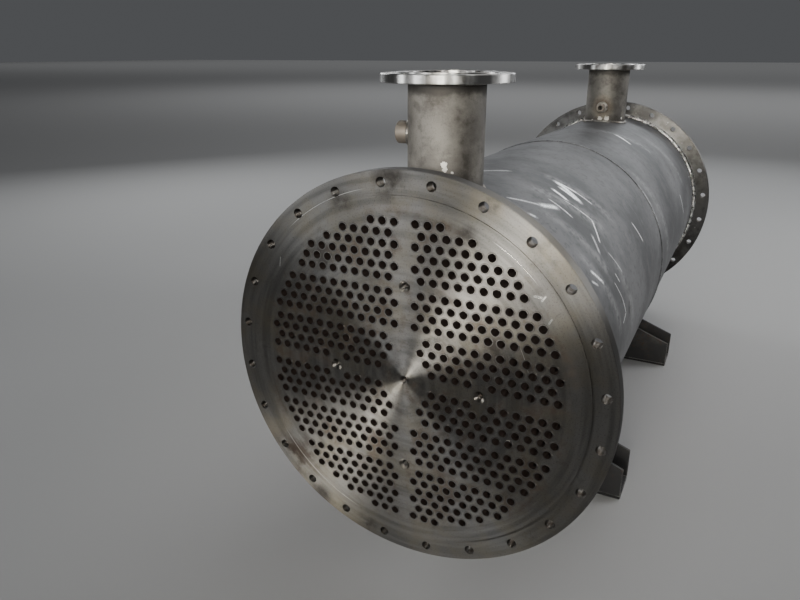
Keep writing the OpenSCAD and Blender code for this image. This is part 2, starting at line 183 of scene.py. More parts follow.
def splitXyz(tree, vector, wanted="xyz"):
    node = tree.nodes.new("ShaderNodeSeparateXYZ")
    plug(tree, node.inputs[0], vector)
    return [node.outputs["xyz".index(letter)] for letter in wanted]


def joinXyz(tree, x, y, z):
    node = tree.nodes.new("ShaderNodeCombineXYZ")
    for socket, value in zip(node.inputs, (x, y, z)):
        plug(tree, socket, value)
    return node.outputs[0]


def noiseAt(tree, vector, scale, detail=3.0, roughness=0.55):
    node = tree.nodes.new("ShaderNodeTexNoise")
    plug(tree, node.inputs["Vector"], vector)
    node.inputs["Scale"].default_value = scale
    node.inputs["Detail"].default_value = detail
    node.inputs["Roughness"].default_value = roughness
    return node.outputs[0]


def rise(tree, value, low, high):  # 0 below low, 1 above high
    node = tree.nodes.new("ShaderNodeMapRange")
    node.interpolation_type = "SMOOTHSTEP"
    plug(tree, node.inputs["Value"], value)
    node.inputs["From Min"].default_value = low
    node.inputs["From Max"].default_value = high
    return node.outputs["Result"]


def blend(tree, amount, first, second, way="MIX"):
    node = tree.nodes.new("ShaderNodeMix")
    node.data_type = "RGBA"
    node.blend_type = way
    plug(tree, node.inputs[0], amount)
    plug(tree, node.inputs[6], first)
    plug(tree, node.inputs[7], second)
    return node.outputs[2]


def times(tree, first, second, clamp=False):
    return calc(tree, "MULTIPLY", first, second, clamp)


def plus(tree, first, second, clamp=False):
    return calc(tree, "ADD", first, second, clamp)


def minus(tree, first, second, clamp=False):
    return calc(tree, "SUBTRACT", first, second, clamp)


def opposite(tree, mask):  # 0 where the mask is 1
    return minus(tree, 1.0, mask)


def strongest(tree, masks):
    total = masks[0]
    for mask in masks[1:]:
        total = calc(tree, "MAXIMUM", total, mask)
    return total


def varied(tree, noise, base, gain):  # a base, and some of the noise on top of it
    return plus(tree, base, times(tree, noise, gain))


def layer(tree, noise, low, high, amount):  # how much of a layer shows where the noise is strong
    return times(tree, rise(tree, noise, low, high), amount)


def stretched(tree, values, factors):
    return joinXyz(tree, *(times(tree, value, factor) for value, factor in zip(values, factors)))


def noisesAt(tree, place, look, *names):
    return [noiseAt(tree, place, *look[name]) for name in names]


def surfaceNormal(tree):
    return tree.nodes.new("ShaderNodeNewGeometry").outputs["Normal"]


def roughen(tree, shader, height, distance, strength=1.0, tangent=None):
    node = tree.nodes.new("ShaderNodeBump")
    node.inputs["Strength"].default_value = strength
    node.inputs["Distance"].default_value = distance
    plug(tree, node.inputs["Height"], height)
    plug(tree, shader.inputs["Normal"], node.outputs["Normal"])
    if tangent is not None:
        plug(tree, shader.inputs["Tangent"], tangent)


def aroundShell(tree, place):  # the way out from the shell's axis, its length, sine and cosine
    x, z = splitXyz(tree, place, "xz")
    flat = joinXyz(tree, x, 0.0, minus(tree, z, axisHeight))
    sine, cosine = splitXyz(tree, calcVector(tree, "NORMALIZE", flat), "xz")
    return flat, calcVector(tree, "LENGTH", flat), sine, cosine


def acrossGrooves(tree, axis, flat, facing):  # the way a highlight spreads on a turned surface
    groove = calcVector(tree, "NORMALIZE", calcVector(tree, "CROSS_PRODUCT", axis, flat))
    return calcVector(tree, "NORMALIZE", calcVector(tree, "CROSS_PRODUCT", facing, groove))


def spotMask(tree, place, centre, inner, outer):  # 1 within inner of a point, 0 beyond outer
    return opposite(tree, rise(tree, calcVector(tree, "DISTANCE", place, centre), inner, outer))


# how a drawn line ends, as a share of its length, how far beyond its half width it fades,
# and how much of a ring's half width is full
strokeLook = {"ends": (-0.08, 0.10), "fade": 1.9, "ringCore": 0.4}


def lineMask(tree, here, first, last, halfWidth):  # 1 on the line between two points
    run = last - first
    offset = calcVector(tree, "SUBTRACT", here, tuple(first))
    covered = calcVector(tree, "DOT_PRODUCT", offset, tuple(run))
    share = calc(tree, "DIVIDE", covered, run.length_squared, True)
    nearest = tree.nodes.new("ShaderNodeVectorMath")
    nearest.operation = "SCALE"
    nearest.inputs[0].default_value = tuple(run)
    plug(tree, nearest.inputs["Scale"], share)
    gap = calcVector(tree, "DISTANCE", offset, nearest.outputs["Vector"])
    taper = rise(tree, times(tree, share, opposite(tree, share)), *strokeLook["ends"])
    return times(tree, taper, opposite(tree, rise(tree, gap, 0.0, halfWidth * strokeLook["fade"])))


def ringMask(tree, radius, middle, halfWidth):
    gap = calc(tree, "ABSOLUTE", minus(tree, radius, middle))
    return opposite(tree, rise(tree, gap, halfWidth * strokeLook["ringCore"], halfWidth))


sheetLook = {
    "steel": (0.258, 0.251, 0.239),
    "dull": (0.166, 0.162, 0.154),
    "film": (0.25, 0.216, 0.150),
    # grime, and also the colour of painted shade on the face
    "stain": (0.095, 0.056, 0.038),
    "grimeAndShade": (0.036, 0.031, 0.028),
    "rust": (0.050, 0.028, 0.018),
    "bore": (0.085, 0.072, 0.062),
    # painted shade for the sheet's rim side
    "side": (0.105, 0.103, 0.102),
    "sooty": (0.105, 0.101, 0.098),
    "bare": (0.30, 0.296, 0.29),
    "splash": (0.75, 0.75, 0.74),
    "scarred": (0.80, 0.79, 0.76),
    "anisotropic": 0.97,
    # how fast the turned patterns change outwards and round the axis
    "grooves": (700.0, 2.2, 2.2),
    "bands": (55.0, 1.4, 1.4),
    # scale, detail and roughness of each noise
    "fine": (1.0, 2.0),
    "broad": (1.0, 3.0),
    "cloud": (6.0, 6.0, 0.65),
    "patch": (17.0, 5.0, 0.65),
    "fleck": (90.0, 4.0, 0.6),
    "speckle": (330.0, 3.0, 0.6),
    "loose": (9.0, 6.0, 0.7),
    "mottle": (16.0, 6.0, 0.66),
    # where in its noise each layer begins and is full, and for some how strong it gets
    "dullLayer": (0.38, 0.66),
    "filmLayer": (0.42, 0.62, 0.45),
    "stainPatches": (0.48, 0.66),
    "stainClouds": (0.38, 0.58),
    "smudgeAndShadePatches": (0.36, 0.60),
    "looseLayer": (0.55, 0.72, 0.55),
    "rustPatches": (0.40, 0.58),
    "speckleLayer": (0.52, 0.72, 0.35),
    "boreLayer": (0.40, 0.65),
    "mottleLayer": (0.38, 0.62),
    "splashLayer": (0.50, 0.58),
    "stainBase": 0.25,
    "grimeAndShadeFlecks": (0.45, 0.6),
    "stainAmount": 0.5,
    "rustAmount": 0.65,
    "centreGrimeAndShadeAmount": 0.85,
    "scarAmount": 0.85,
    "sideAmount": 0.75,
    "innerAmount": 0.65,
    "faceTurn": (0.55, 0.8),  # of the normal along the shell, from a bore's wall to a face
    "innerSide": 0.5,
    "fieldEdge": (0.335, 0.360),
    "holesEnd": (0.4055, 0.4065),  # beyond this radius a wall is the sheet's outside
    "splashReach": (0.006, 0.020),  # beyond the shell
    "rustSpot": (0.385, -137.0),
    "rustReach": (0.02, 0.10),
    "centreGrimeAndShadeReach": (0.005, 0.011),
    "smudgeAndShadeCore": 0.2,
    "scarCore": 0.5,
    "dentCore": 0.35,
    "rough": (0.44, 0.16),
    "stainRough": 0.08,
    "grimeAndShadeRough": 0.14,
    "scarPolish": 0.25,
    "metalLoss": 1.3,
    "relief": (0.6, 0.4),  # of the grooves and of the flecks
    "bump": (0.0003, 0.35),
    # radius and half width of a tool's mark, the middle of it in degrees from the right,
    # and how far it runs along the ring
    "scars": [
        (0.3520, 0.0006, 52.0, 0.060),
        (0.2610, 0.0006, 21.0, 0.030),
        (0.3860, 0.0006, 118.0, 0.110),
        (0.3615, 0.0006, -128.0, 0.140),
    ],
    # start and end of each scratch as radius and degrees from the right, and half width
    "scratches": [
        (0.334, 41.0, 0.344, 39.5, 0.0018),
        (0.340, 38.6, 0.351, 39.2, 0.0013),
        (0.330, 31.6, 0.339, 32.5, 0.0013),
        (0.399, 41.6, 0.404, 41.4, 0.0011),
        (0.375, 33.0, 0.384, 34.5, 0.0010),
        (0.402, 128.0, 0.409, 131.0, 0.0010),
        (0.352, 146.0, 0.361, 143.0, 0.0010),
        (0.404, -70.0, 0.409, -74.0, 0.0010),
    ],
    # middle of each dent as radius and degrees, its reach and its depth
    "dents": [
        (0.345, 40.6, 0.0125, 3.2),
        (0.3565, 32.5, 0.0065, 2.0),
        (0.402, 12.0, 0.0080, 1.6),
    ],
    # middle of each smudge as radius and degrees from the right, and its reach; the smudges are grime, and in
    # the dark sectors of the turned face also painted shade
    "smudgesAndShade": [
        (0.398, 95.0, 0.055),
        (0.372, 112.0, 0.035),
        (0.335, 68.0, 0.030),
        (0.405, 66.0, 0.022),
        (0.300, 128.0, 0.045),
        (0.120, 60.0, 0.040),
        (0.215, 30.0, 0.040),
        (0.395, -138.0, 0.050),
        (0.410, -122.0, 0.040),
        (0.400, -104.0, 0.040),
    ],
}


def facePoint(radius, degrees):  # on the front sheet's outer face
    turn = math.radians(degrees)
    return (radius * math.cos(turn), sheetLow.y, axisHeight + radius * math.sin(turn))


def sheetScars(tree, place, radius):  # a tool's marks and the scratches of the front face
    marks = []
    for distance, halfWidth, degrees, run in sheetLook["scars"]:
        nearby = spotMask(tree, place, facePoint(distance, degrees), run * sheetLook["scarCore"], run)
        marks.append(times(tree, ringMask(tree, radius, distance, halfWidth), nearby))
    for distance, degrees, endDistance, endDegrees, halfWidth in sheetLook["scratches"]:
        first, last = Vector(facePoint(distance, degrees)), Vector(facePoint(endDistance, endDegrees))
        marks.append(lineMask(tree, place, first, last, halfWidth))
    return strongest(tree, marks)


def sheetWalls(tree, radius, fleck, steel):  # the walls of the holes, and the sheet's outside darkened as painted shade
    look = sheetLook
    bore = blend(tree, rise(tree, fleck, *look["boreLayer"]), look["bore"], look["dull"])
    inHole = opposite(tree, rise(tree, radius, *look["holesEnd"]))
    # beyond the holes the rim side is darkened towards the painted shade colour
    return blend(tree, inHole, blend(tree, look["sideAmount"], steel, look["side"]), bore)


def sheetInnerSide(tree, place, radius, speckle):  # mottled, with splashes by the weld
    look = sheetLook
    blotches = rise(tree, noiseAt(tree, place, *look["mottle"]), *look["mottleLayer"])
    colour = blend(tree, blotches, look["sooty"], look["bare"])
    begin, end = look["splashReach"]
    byWeld = opposite(tree, rise(tree, radius, shellRadius + begin, shellRadius + end))
    splash = times(tree, byWeld, rise(tree, speckle, *look["splashLayer"]))
    return blend(tree, splash, colour, look["splash"])


def makeSheetFinish():
    look = sheetLook
    finish, tree, shader, place = newFinish("turnedSheetSteel", 0.5, 1.0, look["anisotropic"])
    flat, radius, sine, cosine = aroundShell(tree, place)
    facing = surfaceNormal(tree)
    y = splitXyz(tree, place, "y")[0]
    facingY = splitXyz(tree, facing, "y")[0]
    onFace = rise(tree, calc(tree, "ABSOLUTE", facingY), *look["faceTurn"])
    fine = noiseAt(tree, stretched(tree, (radius, sine, cosine), look["grooves"]), *look["fine"])
    broad = noiseAt(tree, stretched(tree, (radius, sine, cosine), look["bands"]), *look["broad"])
    cloud, patch, fleck, speckle = noisesAt(tree, place, look, "cloud", "patch", "fleck", "speckle")

    colour = blend(tree, rise(tree, broad, *look["dullLayer"]), look["steel"], look["dull"])
    colour = blend(tree, layer(tree, cloud, *look["filmLayer"]), colour, look["film"])
    inField = opposite(tree, rise(tree, radius, *look["fieldEdge"]))
    stained = times(tree, rise(tree, patch, *look["stainPatches"]), inField)
    stainCloud = plus(tree, look["stainBase"], rise(tree, cloud, *look["stainClouds"]))
    stained = times(tree, stained, stainCloud, True)
    colour = blend(tree, times(tree, stained, look["stainAmount"]), colour, look["stain"])

    # dark smudges: grime, and painted shade where the turned face lies in its dark sectors
    smudgesAndShade = [spotMask(tree, place, facePoint(distance, degrees), reach * look["smudgeAndShadeCore"], reach)
               for distance, degrees, reach in look["smudgesAndShade"]]
    smudgedAndShaded = times(tree, strongest(tree, smudgesAndShade), rise(tree, patch, *look["smudgeAndShadePatches"]))
    loose = layer(tree, noiseAt(tree, place, *look["loose"]), *look["looseLayer"])
    grimeAndShadeMask = times(tree, strongest(tree, [smudgedAndShaded, loose]), varied(tree, fleck, *look["grimeAndShadeFlecks"]), True)
    colour = blend(tree, grimeAndShadeMask, colour, look["grimeAndShade"])
    rusty = spotMask(tree, place, facePoint(*look["rustSpot"]), *look["rustReach"])
    rusty = times(tree, rusty, rise(tree, patch, *look["rustPatches"]))
    colour = blend(tree, times(tree, rusty, look["rustAmount"]), colour, look["rust"])
    colour = blend(tree, layer(tree, speckle, *look["speckleLayer"]), colour, look["grimeAndShade"])
    # painted shade round the centre hole, with a little grime, so the hole looks wider
    centreGrimeAndShade = spotMask(tree, place, facePoint(0.0, 0.0), *look["centreGrimeAndShadeReach"])
    colour = blend(tree, times(tree, centreGrimeAndShade, look["centreGrimeAndShadeAmount"]), colour, look["grimeAndShade"])
    scar = times(tree, sheetScars(tree, place, radius), onFace)
    colour = blend(tree, times(tree, scar, look["scarAmount"]), colour, look["scarred"])

    walls = sheetWalls(tree, radius, fleck, colour)
    turnedIn = times(tree, y, times(tree, facingY, -1.0))
    onInnerSide = calc(tree, "GREATER_THAN", turnedIn, look["innerSide"])
    innerSide = sheetInnerSide(tree, place, radius, speckle)
    colour = blend(tree, times(tree, onInnerSide, look["innerAmount"]), colour, innerSide)
    plug(tree, shader.inputs["Base Color"], blend(tree, onFace, walls, colour))

    dull = plus(tree, times(tree, stained, look["stainRough"]), times(tree, grimeAndShadeMask, look["grimeAndShadeRough"]))
    rough = plus(tree, varied(tree, fine, *look["rough"]), dull)
    plug(tree, shader.inputs["Roughness"], minus(tree, rough, times(tree, scar, look["scarPolish"])))
    plug(tree, shader.inputs["Metallic"], minus(tree, 1.0, times(tree, dull, look["metalLoss"]), True))
    height = plus(tree, times(tree, fine, look["relief"][0]), times(tree, fleck, look["relief"][1]))
    for distance, degrees, reach, depth in look["dents"]:
        hollow = spotMask(tree, place, facePoint(distance, degrees), reach * look["dentCore"], reach)
        height = minus(tree, height, times(tree, hollow, depth))
    roughen(tree, shader, height, *look["bump"], acrossGrooves(tree, alongShell, flat, facing))
    return finish


shellLook = {
    "plate": (0.084, 0.084, 0.086),
    "pale": (0.186, 0.185, 0.188),
    "smearAndShade": (0.060, 0.058, 0.057),
    "sheen": (0.46, 0.46, 0.455),
    "scratch": (0.97, 0.97, 0.96),
    # how fast the rolled pattern changes along x, y and z, and how much slant is added to it
    "rolled": (5.0, 26.0, 5.0),
    "slant": (30.0, 9.0, 30.0),
    # scale, detail and roughness of each noise
    "streaky": (1.0, 5.0, 0.65),
    "slanting": (1.6, 4.0, 0.6),
    "cloud": (4.2, 6.0, 0.62),
    "grain": (260.0, 2.0),
    "smudge": (13.0, 6.0, 0.7),
    "wear": (9.0, 3.0),
    # where in its noise each layer begins and is full, and for some how strong it gets
    "paleLayer": (0.36, 0.66),
    "streakyLayer": (0.48, 0.70, 0.42),
    "slantingLayer": (0.50, 0.70, 0.42),
    "smudgeLayer": (0.56, 0.72, 0.5),
    "markSmudges": (0.34, 0.60),
    "sheenSlants": (0.34, 0.62),
    "wearLayer": (0.36, 0.56),
    "markBase": 0.3,
    "wearBase": 0.55,
    "cornerShadeReach": (0.004, 0.050),  # painted shade on the shell, behind the front sheet
    "cornerShadeAmount": 0.55,
    "rough": (0.48, 0.22),
    "wearPolish": 0.20,
    "metal": (0.7, 0.3),
    "relief": (0.7, 0.5),  # of the grain and of the smudges
    "bump": (0.0005, 0.5),
    # start and end of each ground streak as distance from the front face and degrees
    # from the top, its half width in metres, and how bright it is
    "streaks": [
        (0.502, 24.0, 0.479, 36.0, 0.0072, 1.0),
        (0.476, 27.0, 0.473, 34.5, 0.0050, 1.0),
        (0.505, 25.5, 0.518, 32.5, 0.0034, 1.0),
        (0.518, 32.5, 0.530, 39.5, 0.0018, 0.8),
        (0.434, 26.0, 0.427, 32.5, 0.0046, 1.0),
        (0.356, 28.5, 0.358, 38.5, 0.0026, 0.6),
        (0.412, 31.5, 0.429, 38.5, 0.0016, 0.5),
        (0.429, 38.5, 0.445, 44.0, 0.0018, 0.7),
        (0.445, 44.0, 0.394, 51.5, 0.0024, 1.0),
        (0.225, 19.5, 0.289, 28.5, 0.0030, 0.5),
        (0.289, 28.5, 0.340, 32.5, 0.0070, 0.7),
        (0.205, 29.0, 0.213, 31.0, 0.0044, 0.6),
        (0.376, 48.0, 0.352, 54.0, 0.0040, 0.4),
        (0.244, 56.0, 0.282, 62.0, 0.0034, 0.8),
        (0.220, 58.5, 0.243, 61.0, 0.0024, 0.5),
        (0.388, 64.0, 0.400, 67.5, 0.0018, 0.6),
        (0.407, 56.5, 0.447, 66.0, 0.0016, 0.4),
        (0.359, 66.0, 0.389, 73.5, 0.0016, 0.5),
        (0.389, 73.5, 0.404, 79.5, 0.0018, 0.7),
        (0.404, 79.5, 0.369, 81.5, 0.0018, 0.7),
        (0.385, -1.0, 0.441, 8.0, 0.0050, 0.4),
        (1.421, 18.0, 1.386, 28.0, 0.0046, 0.9),
        (0.714, 56.5, 0.746, 66.0, 0.0030, 0.7),
        (0.620, -40.0, 0.655, -28.0, 0.0030, 0.8),
        (1.180, -55.0, 1.150, -44.0, 0.0026, 0.7),
        (0.900, -70.0, 0.940, -60.0, 0.0026, 0.7),
        (1.560, 70.0, 1.600, 82.0, 0.0026, 0.7),
        (1.050, 95.0, 1.085, 108.0, 0.0030, 0.7),
    ],
    # broad pale bands in the same terms, partly rubbed wear and partly painted sheen
    "sheens": [
        (0.360, 20.0, 0.470, 50.0, 0.022, 0.45),
        (0.260, 30.0, 0.345, 62.0, 0.017, 0.35),
        (0.505, 18.0, 0.570, 50.0, 0.016, 0.40),
        (0.235, 48.0, 0.340, 82.0, 0.014, 0.35),
        (0.420, 60.0, 0.500, 90.0, 0.018, 0.35),
        (1.400, 8.0, 1.500, 40.0, 0.024, 0.40),
        (1.620, 30.0, 1.700, 66.0, 0.020, 0.35),
        (1.050, 40.0, 1.150, 88.0, 0.024, 0.35),
        (0.880, -66.0, 0.980, -18.0, 0.024, 0.35),
        (1.300, -90.0, 1.380, -50.0, 0.020, 0.35),
    ],
    # dirt and scorch marks in the same terms
    "marks": [
        (0.451, 77.5, 0.440, 82.0, 0.0100, 0.8),
        (0.300, 36.0, 0.420, 44.0, 0.0220, 0.25),
        (0.560, 12.0, 0.470, 30.0, 0.0160, 0.35),
        (0.215, 66.0, 0.300, 84.0, 0.0200, 0.4),
        (1.620, 36.0, 1.560, 58.0, 0.0240, 0.3),
        (1.300, -30.0, 1.390, -52.0, 0.0240, 0.4),
        (0.480, -36.0, 0.560, -60.0, 0.0200, 0.4),
    ],
}


def shellMask(tree, angle, along, strokes):
    masks = []
    here = joinXyz(tree, times(tree, angle, shellRadius), along, 0.0)
    for startY, startTurn, endY, endTurn, halfWidth, strength in strokes:
        first = Vector((math.radians(startTurn) * shellRadius, startY + rimFace, 0))
        last = Vector((math.radians(endTurn) * shellRadius, endY + rimFace, 0))
        masks.append(times(tree, lineMask(tree, here, first, last, halfWidth), strength))
    return strongest(tree, masks)


def makeShellFinish():
    look = shellLook
    finish, tree, shader, place = newFinish("rolledShellPlate", 0.6, look["metal"][0])
    x, y, z = splitXyz(tree, place)
    angle = calc(tree, "ARCTAN2", x, minus(tree, z, axisHeight))
    sine, cosine = aroundShell(tree, place)[2:]
    rolled = stretched(tree, (sine, y, cosine), look["rolled"])
    brushed = calcVector(tree, "ADD", rolled, calcVector(tree, "MULTIPLY", place, look["slant"]))
    streaky = noiseAt(tree, rolled, *look["streaky"])
    slanting = noiseAt(tree, brushed, *look["slanting"])
    cloud, grain, smudge = noisesAt(tree, place, look, "cloud", "grain", "smudge")

    colour = blend(tree, rise(tree, cloud, *look["paleLayer"]), look["plate"], look["pale"])
    colour = blend(tree, layer(tree, streaky, *look["streakyLayer"]), colour, look["pale"])
    colour = blend(tree, layer(tree, slanting, *look["slantingLayer"]), colour, look["smearAndShade"])
    colour = blend(tree, layer(tree, smudge, *look["smudgeLayer"]), colour, look["smearAndShade"])
    broken = plus(tree, look["markBase"], rise(tree, smudge, *look["markSmudges"]))
    marks = times(tree, shellMask(tree, angle, y, look["marks"]), broken, True)
    colour = blend(tree, marks, colour, look["smearAndShade"])
    # painted shade on the shell in the corner behind the front sheet
    begin, end = look["cornerShadeReach"]
    corner = opposite(tree, rise(tree, y, sheetHigh.y + begin, sheetHigh.y + end))
    colour = blend(tree, times(tree, corner, look["cornerShadeAmount"]), colour, look["smearAndShade"])
    # broad pale bands: rubbed wear, and painted sheen where the shell catches light
    slants = rise(tree, slanting, *look["sheenSlants"])
    sheen = times(tree, shellMask(tree, angle, y, look["sheens"]), slants)
    colour = blend(tree, sheen, colour, look["sheen"])
    wear = rise(tree, noiseAt(tree, brushed, *look["wear"]), *look["wearLayer"])
    ground = shellMask(tree, angle, y, look["streaks"])
    worn = times(tree, ground, plus(tree, look["wearBase"], wear), True)
    plug(tree, shader.inputs["Base Color"], blend(tree, worn, colour, look["scratch"]))

    rough = varied(tree, cloud, *look["rough"])
    plug(tree, shader.inputs["Roughness"], minus(tree, rough, times(tree, worn, look["wearPolish"])))
    plug(tree, shader.inputs["Metallic"], varied(tree, worn, *look["metal"]))
    height = plus(tree, times(tree, grain, look["relief"][0]), times(tree, smudge, look["relief"][1]))
    roughen(tree, shader, height, *look["bump"])
    return finish


pipeLook = {
    "steel": (0.150, 0.140, 0.126),
    "pale": (0.226, 0.213, 0.192),
    "scorchAndShade": (0.054, 0.047, 0.041),
    "straw": (0.18, 0.138, 0.09),
    "shade": (0.030, 0.027, 0.024),
    "boss": (0.205, 0.178, 0.148),
    "ground": (0.66, 0.64, 0.60),
    # scale, detail and roughness of each noise
    "cloud": (14.0, 6.0, 0.65),
    "blotch": (34.0, 5.0, 0.7),
    "grain": (420.0, 3.0),
    "crumbs": (170.0, 4.0, 0.6),
    # where in its noise each layer begins and is full, and for some how strong it gets
    "paleLayer": (0.38, 0.64),
    "blotchLayer": (0.50, 0.68, 0.45),
    "grainLayer": (0.50, 0.75, 0.30),
    "spotBlotches": (0.18, 0.70),
    "bossLayer": (0.40, 0.68),
    "groundLayer": (0.46, 0.62),
    "bossBegins": (0.0012, 0.0026),  # beyond the pipe's radius
    "shadeEnds": (0.014, 0.032),  # below the flange
    "shadeTorn": 0.05,
    "shadeAmount": 0.80,
    "footEnds": (0.002, 0.030),  # above the crown of the shell
    "footDarkening": (0.3, 0.6),
    "spotReach": 1.2,
    "spotAmount": 0.75,
    "groundTorn": 1.6,
    "haloReach": (0.026, 0.040),  # from the middle of a coupling
    "haloAmount": 0.8,
    "strawReach": (0.038, 0.060),
    "strawAmount": 0.3,
    "rough": (0.50, 0.22),
    "bump": (0.0004, 0.5),
    # ground bright near the foot of a nozzle: how far to the right of its axis and above the
    # crown of the shell, and its reach
    "groundSpots": {
        "front": [(0.0272, 0.056, 0.0120), (0.0290, 0.046, 0.0100), (0.0418, 0.040, 0.0060)],
        "rear": [
            (-0.005, 0.012, 0.0170),
            (0.021, 0.013, 0.0190),
            (-0.035, 0.002, 0.0090),
            (0.070, 0.012, 0.0090),
        ],
    },
    # dark spots on the front of each nozzle pipe, as how far to the right of its axis and above the crown of
    # the shell, and reach; mostly painted shade down the pipe's right side
    "darkSpots": [
        (0.052, 0.020, 0.035),
        (0.062, 0.055, 0.040),
        (0.066, 0.100, 0.050),
        (0.050, 0.145, 0.045),
        (0.010, 0.165, 0.035),
        (-0.046, 0.012, 0.024),
        (-0.060, 0.150, 0.035),
    ],
}


def pipePoint(across, middleY, height):  # on the front of a nozzle pipe, above the crown
    return (across, middleY - math.sqrt(pipeRadius ** 2 - across ** 2), crownHeight + height)


def torn(tree, mask, noise, amount):  # an edge or a spot with a ragged outline
    return plus(tree, mask, times(tree, minus(tree, noise, 0.5), amount))


def makePipeFinish():
    look = pipeLook
    finish, tree, shader, place = newFinish("nozzlePipeSteel", roughness=0.62, metallic=0.75)
    x, y, z = splitXyz(tree, place)
    isRear = calc(tree, "GREATER_THAN", y, 0.0)
    frontLow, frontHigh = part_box("front_nozzle_pipe")
    rearLow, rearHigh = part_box("rear_nozzle_pipe")
    frontY, rearY = (frontLow.y + frontHigh.y) / 2, (rearLow.y + rearHigh.y) / 2
    axisY = varied(tree, isRear, frontY, rearY - frontY)
    reach = calcVector(tree, "LENGTH", joinXyz(tree, x, minus(tree, y, axisY), 0.0))
    begin, end = look["bossBegins"]
    onBoss = rise(tree, reach, pipeRadius + begin, pipeRadius + end)
    cloud, blotch, grain, crumbs = noisesAt(tree, place, look, "cloud", "blotch", "grain", "crumbs")

    colour = blend(tree, rise(tree, cloud, *look["paleLayer"]), look["steel"], look["pale"])
    colour = blend(tree, layer(tree, blotch, *look["blotchLayer"]), colour, look["scorchAndShade"])
    colour = blend(tree, layer(tree, grain, *look["grainLayer"]), colour, look["scorchAndShade"])
    # darker towards the foot of the pipe
    begin, end = look["footEnds"]
    foot = opposite(tree, rise(tree, z, crownHeight + begin, crownHeight + end))
    footDarkening = times(tree, foot, varied(tree, cloud, *look["footDarkening"]))
    colour = blend(tree, footDarkening, colour, look["scorchAndShade"])
    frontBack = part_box("front_nozzle_flange")[0].z
    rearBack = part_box("rear_nozzle_flange")[0].z
    below = minus(tree, varied(tree, isRear, frontBack, rearBack - frontBack), z)
    under = opposite(tree, rise(tree, torn(tree, below, cloud, look["shadeTorn"]), *look["shadeEnds"]))
    colour = blend(tree, times(tree, under, look["shadeAmount"]), colour, look["shade"])

    # darkened spots, mostly painted shade on the pipes' right sides
    spotBlotch = rise(tree, blotch, *look["spotBlotches"])
    for across, height, spread in look["darkSpots"]:
        for middleY in (frontY, rearY):
            spot = pipePoint(across, middleY, height)
            mask = times(tree, spotMask(tree, place, spot, 0.0, spread * look["spotReach"]), spotBlotch)
            colour = blend(tree, times(tree, mask, look["spotAmount"]), colour, look["scorchAndShade"])
    for end, middleY in (("front", frontY), ("rear", rearY)):
        for across, height, spread in look["groundSpots"][end]:
            spot = spotMask(tree, place, pipePoint(across, middleY, height), 0.0, spread)
            mask = rise(tree, torn(tree, spot, crumbs, look["groundTorn"]), *look["groundLayer"])
            colour = blend(tree, mask, colour, look["ground"])
    for name in ("front_coupling", "rear_coupling"):
        low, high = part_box(name)
        centre = tuple((low + high) / 2)
        halo = spotMask(tree, place, centre, *look["haloReach"])
        colour = blend(tree, times(tree, halo, look["haloAmount"]), colour, look["scorchAndShade"])
        straw = spotMask(tree, place, centre, *look["strawReach"])
        colour = blend(tree, times(tree, straw, look["strawAmount"]), colour, look["straw"])
    boss = blend(tree, rise(tree, cloud, *look["bossLayer"]), look["boss"], look["pale"])
    plug(tree, shader.inputs["Base Color"], blend(tree, onBoss, colour, boss))
    plug(tree, shader.inputs["Roughness"], varied(tree, cloud, *look["rough"]))
    roughen(tree, shader, plus(tree, grain, blotch), *look["bump"])
    return finish


flangeLook = {
    "steel": (0.68, 0.668, 0.64),
    "dull": (0.28, 0.272, 0.26),
    "stain": (0.11, 0.088, 0.065),
    "anisotropic": 0.92,
    "grooves": (900.0, 1400.0, 1.0),  # how fast they change outwards, upwards and round
    "round": (5.5, 5.5, 3.0),
    "lathe": (1.0, 2.0),
    "polishAndReflectionBands": (1.0, 1.0),
    "cloud": (20.0, 5.0, 0.65),
    "polishAndReflectionLayer": (0.42, 0.58),
    "stainLayer": (0.52, 0.7, 0.55),
    "rough": (0.28, 0.22),
    "bump": (0.0002, 0.4),
}


def makeFlangeFinish():
    look = flangeLook
    finish, tree, shader, place = newFinish("turnedFlangeSteel", 0.34, 1.0, look["anisotropic"])
    x, y, z = splitXyz(tree, place)
    low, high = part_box("front_nozzle_flange")
    rearLow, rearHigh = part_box("rear_nozzle_flange")
    isRear = calc(tree, "GREATER_THAN", y, 0.0)
    apart = (rearLow.y + rearHigh.y - low.y - high.y) / 2
    axisY = varied(tree, isRear, (low.y + high.y) / 2, apart)
    flat = joinXyz(tree, x, minus(tree, y, axisY), 0.0)
    radius = calcVector(tree, "LENGTH", flat)
    sine, cosine = splitXyz(tree, calcVector(tree, "NORMALIZE", flat), "xy")
    lathe = noiseAt(tree, stretched(tree, (radius, z, cosine), look["grooves"]), *look["lathe"])
    # bright and dull bands round the flange: uneven polish, and painted reflections of the lights
    polishAndReflectionBands = noiseAt(tree, stretched(tree, (sine, cosine, 1.0), look["round"]), *look["polishAndReflectionBands"])
    cloud = noiseAt(tree, place, *look["cloud"])
    colour = blend(tree, rise(tree, polishAndReflectionBands, *look["polishAndReflectionLayer"]), look["dull"], look["steel"])
    colour = blend(tree, layer(tree, cloud, *look["stainLayer"]), colour, look["stain"])
    plug(tree, shader.inputs["Base Color"], colour)
    plug(tree, shader.inputs["Roughness"], varied(tree, cloud, *look["rough"]))
    roughen(tree, shader, lathe, *look["bump"], acrossGrooves(tree, upward, flat, surfaceNormal(tree)))
    return finish


